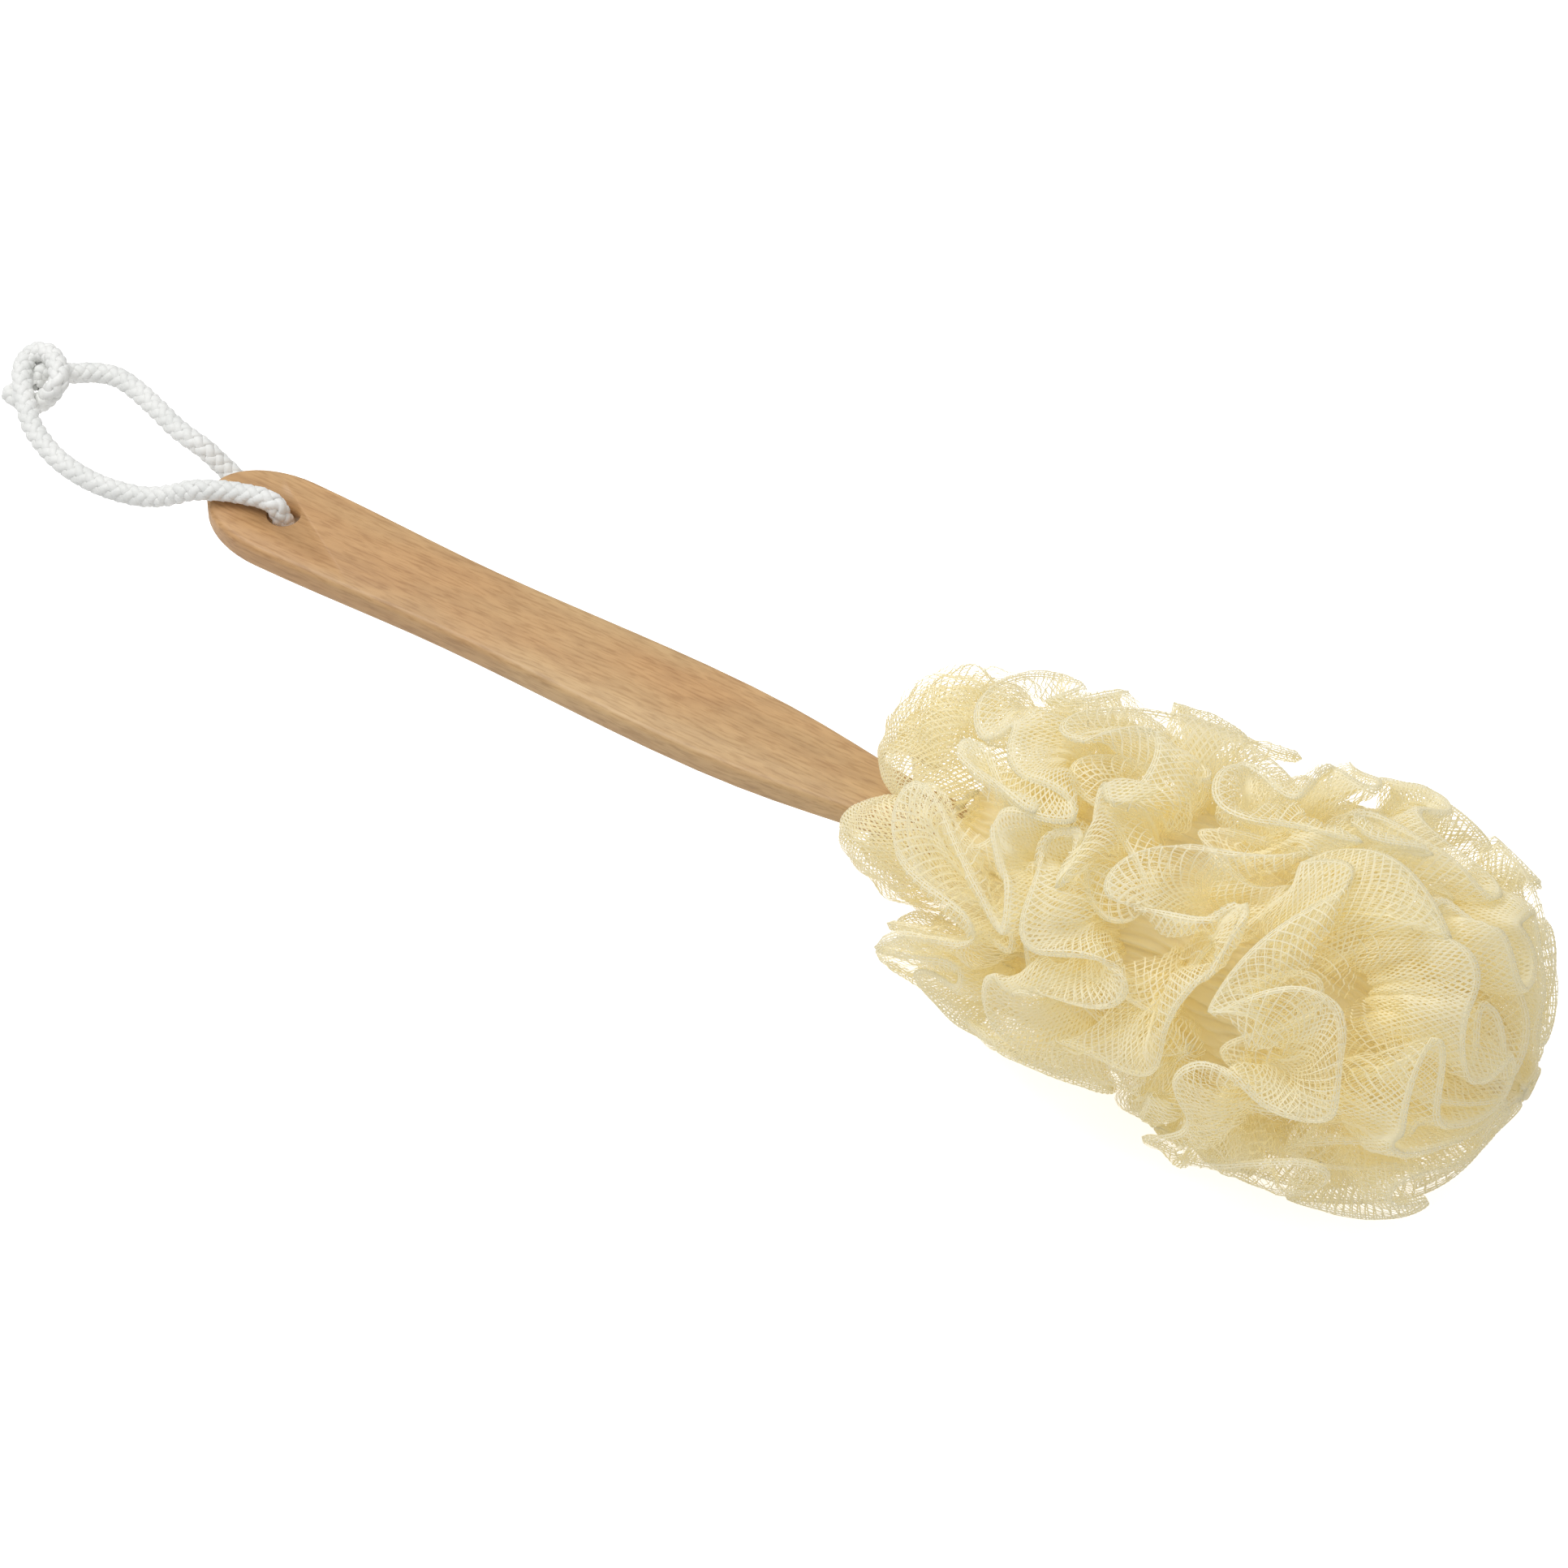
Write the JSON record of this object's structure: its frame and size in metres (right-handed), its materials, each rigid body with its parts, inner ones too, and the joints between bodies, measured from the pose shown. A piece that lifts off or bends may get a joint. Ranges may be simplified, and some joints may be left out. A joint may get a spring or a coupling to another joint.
{
  "type": "mesh back scrubber",
  "caption": "Long flat wooden handle with a ruffled netting scrubbing head tied on its slim end and a knotted cord loop for hanging.",
  "frame": {"origin": "on the handle's lower broad face, on its centre line, at the middle of the grip", "axes": "+X along the handle towards the netting head, +Z normal to the broad faces, +Y across the handle"},
  "size_m": [0.4674, 0.1102, 0.1102],
  "materials": {
    "wood": "fine sanded beech-like wood with a thin clear coat",
    "netting": "pale cream extruded polyethylene netting, soft and slightly glossy",
    "string": "thin off-white twisted string",
    "cord": "white solid-braid cord"
  },
  "bodies": {
    "scrubber": {"handle": "wood", "netting_ruffle_1": "netting", "netting_ruffle_2": "netting", "netting_ruffle_3": "netting", "netting_ruffle_4": "netting", "netting_ruffle_5": "netting", "tie_string_1": "string", "tie_string_2": "string", "tie_string_3": "string", "tie_string_4": "string", "tie_string_5": "string"},
    "cord_bight": {"cord_bight": "cord"},
    "cord_loop": {"cord_loop": "cord", "cord_knot": "cord"}
  },
  "joints": [
    {"name": "cord_swing", "type": "hinge", "parent": "scrubber", "child": "cord_bight", "pos_m": [-0.08, 0, 0.004], "axis": [0, 0, 1], "range_deg": [-75, 75]},
    {"name": "cord_flop", "type": "hinge", "parent": "cord_bight", "child": "cord_loop", "pos_m": [-0.121, 0, 0.004], "axis": [0, 1, 0], "range_deg": [-90, 90]}
  ]
}
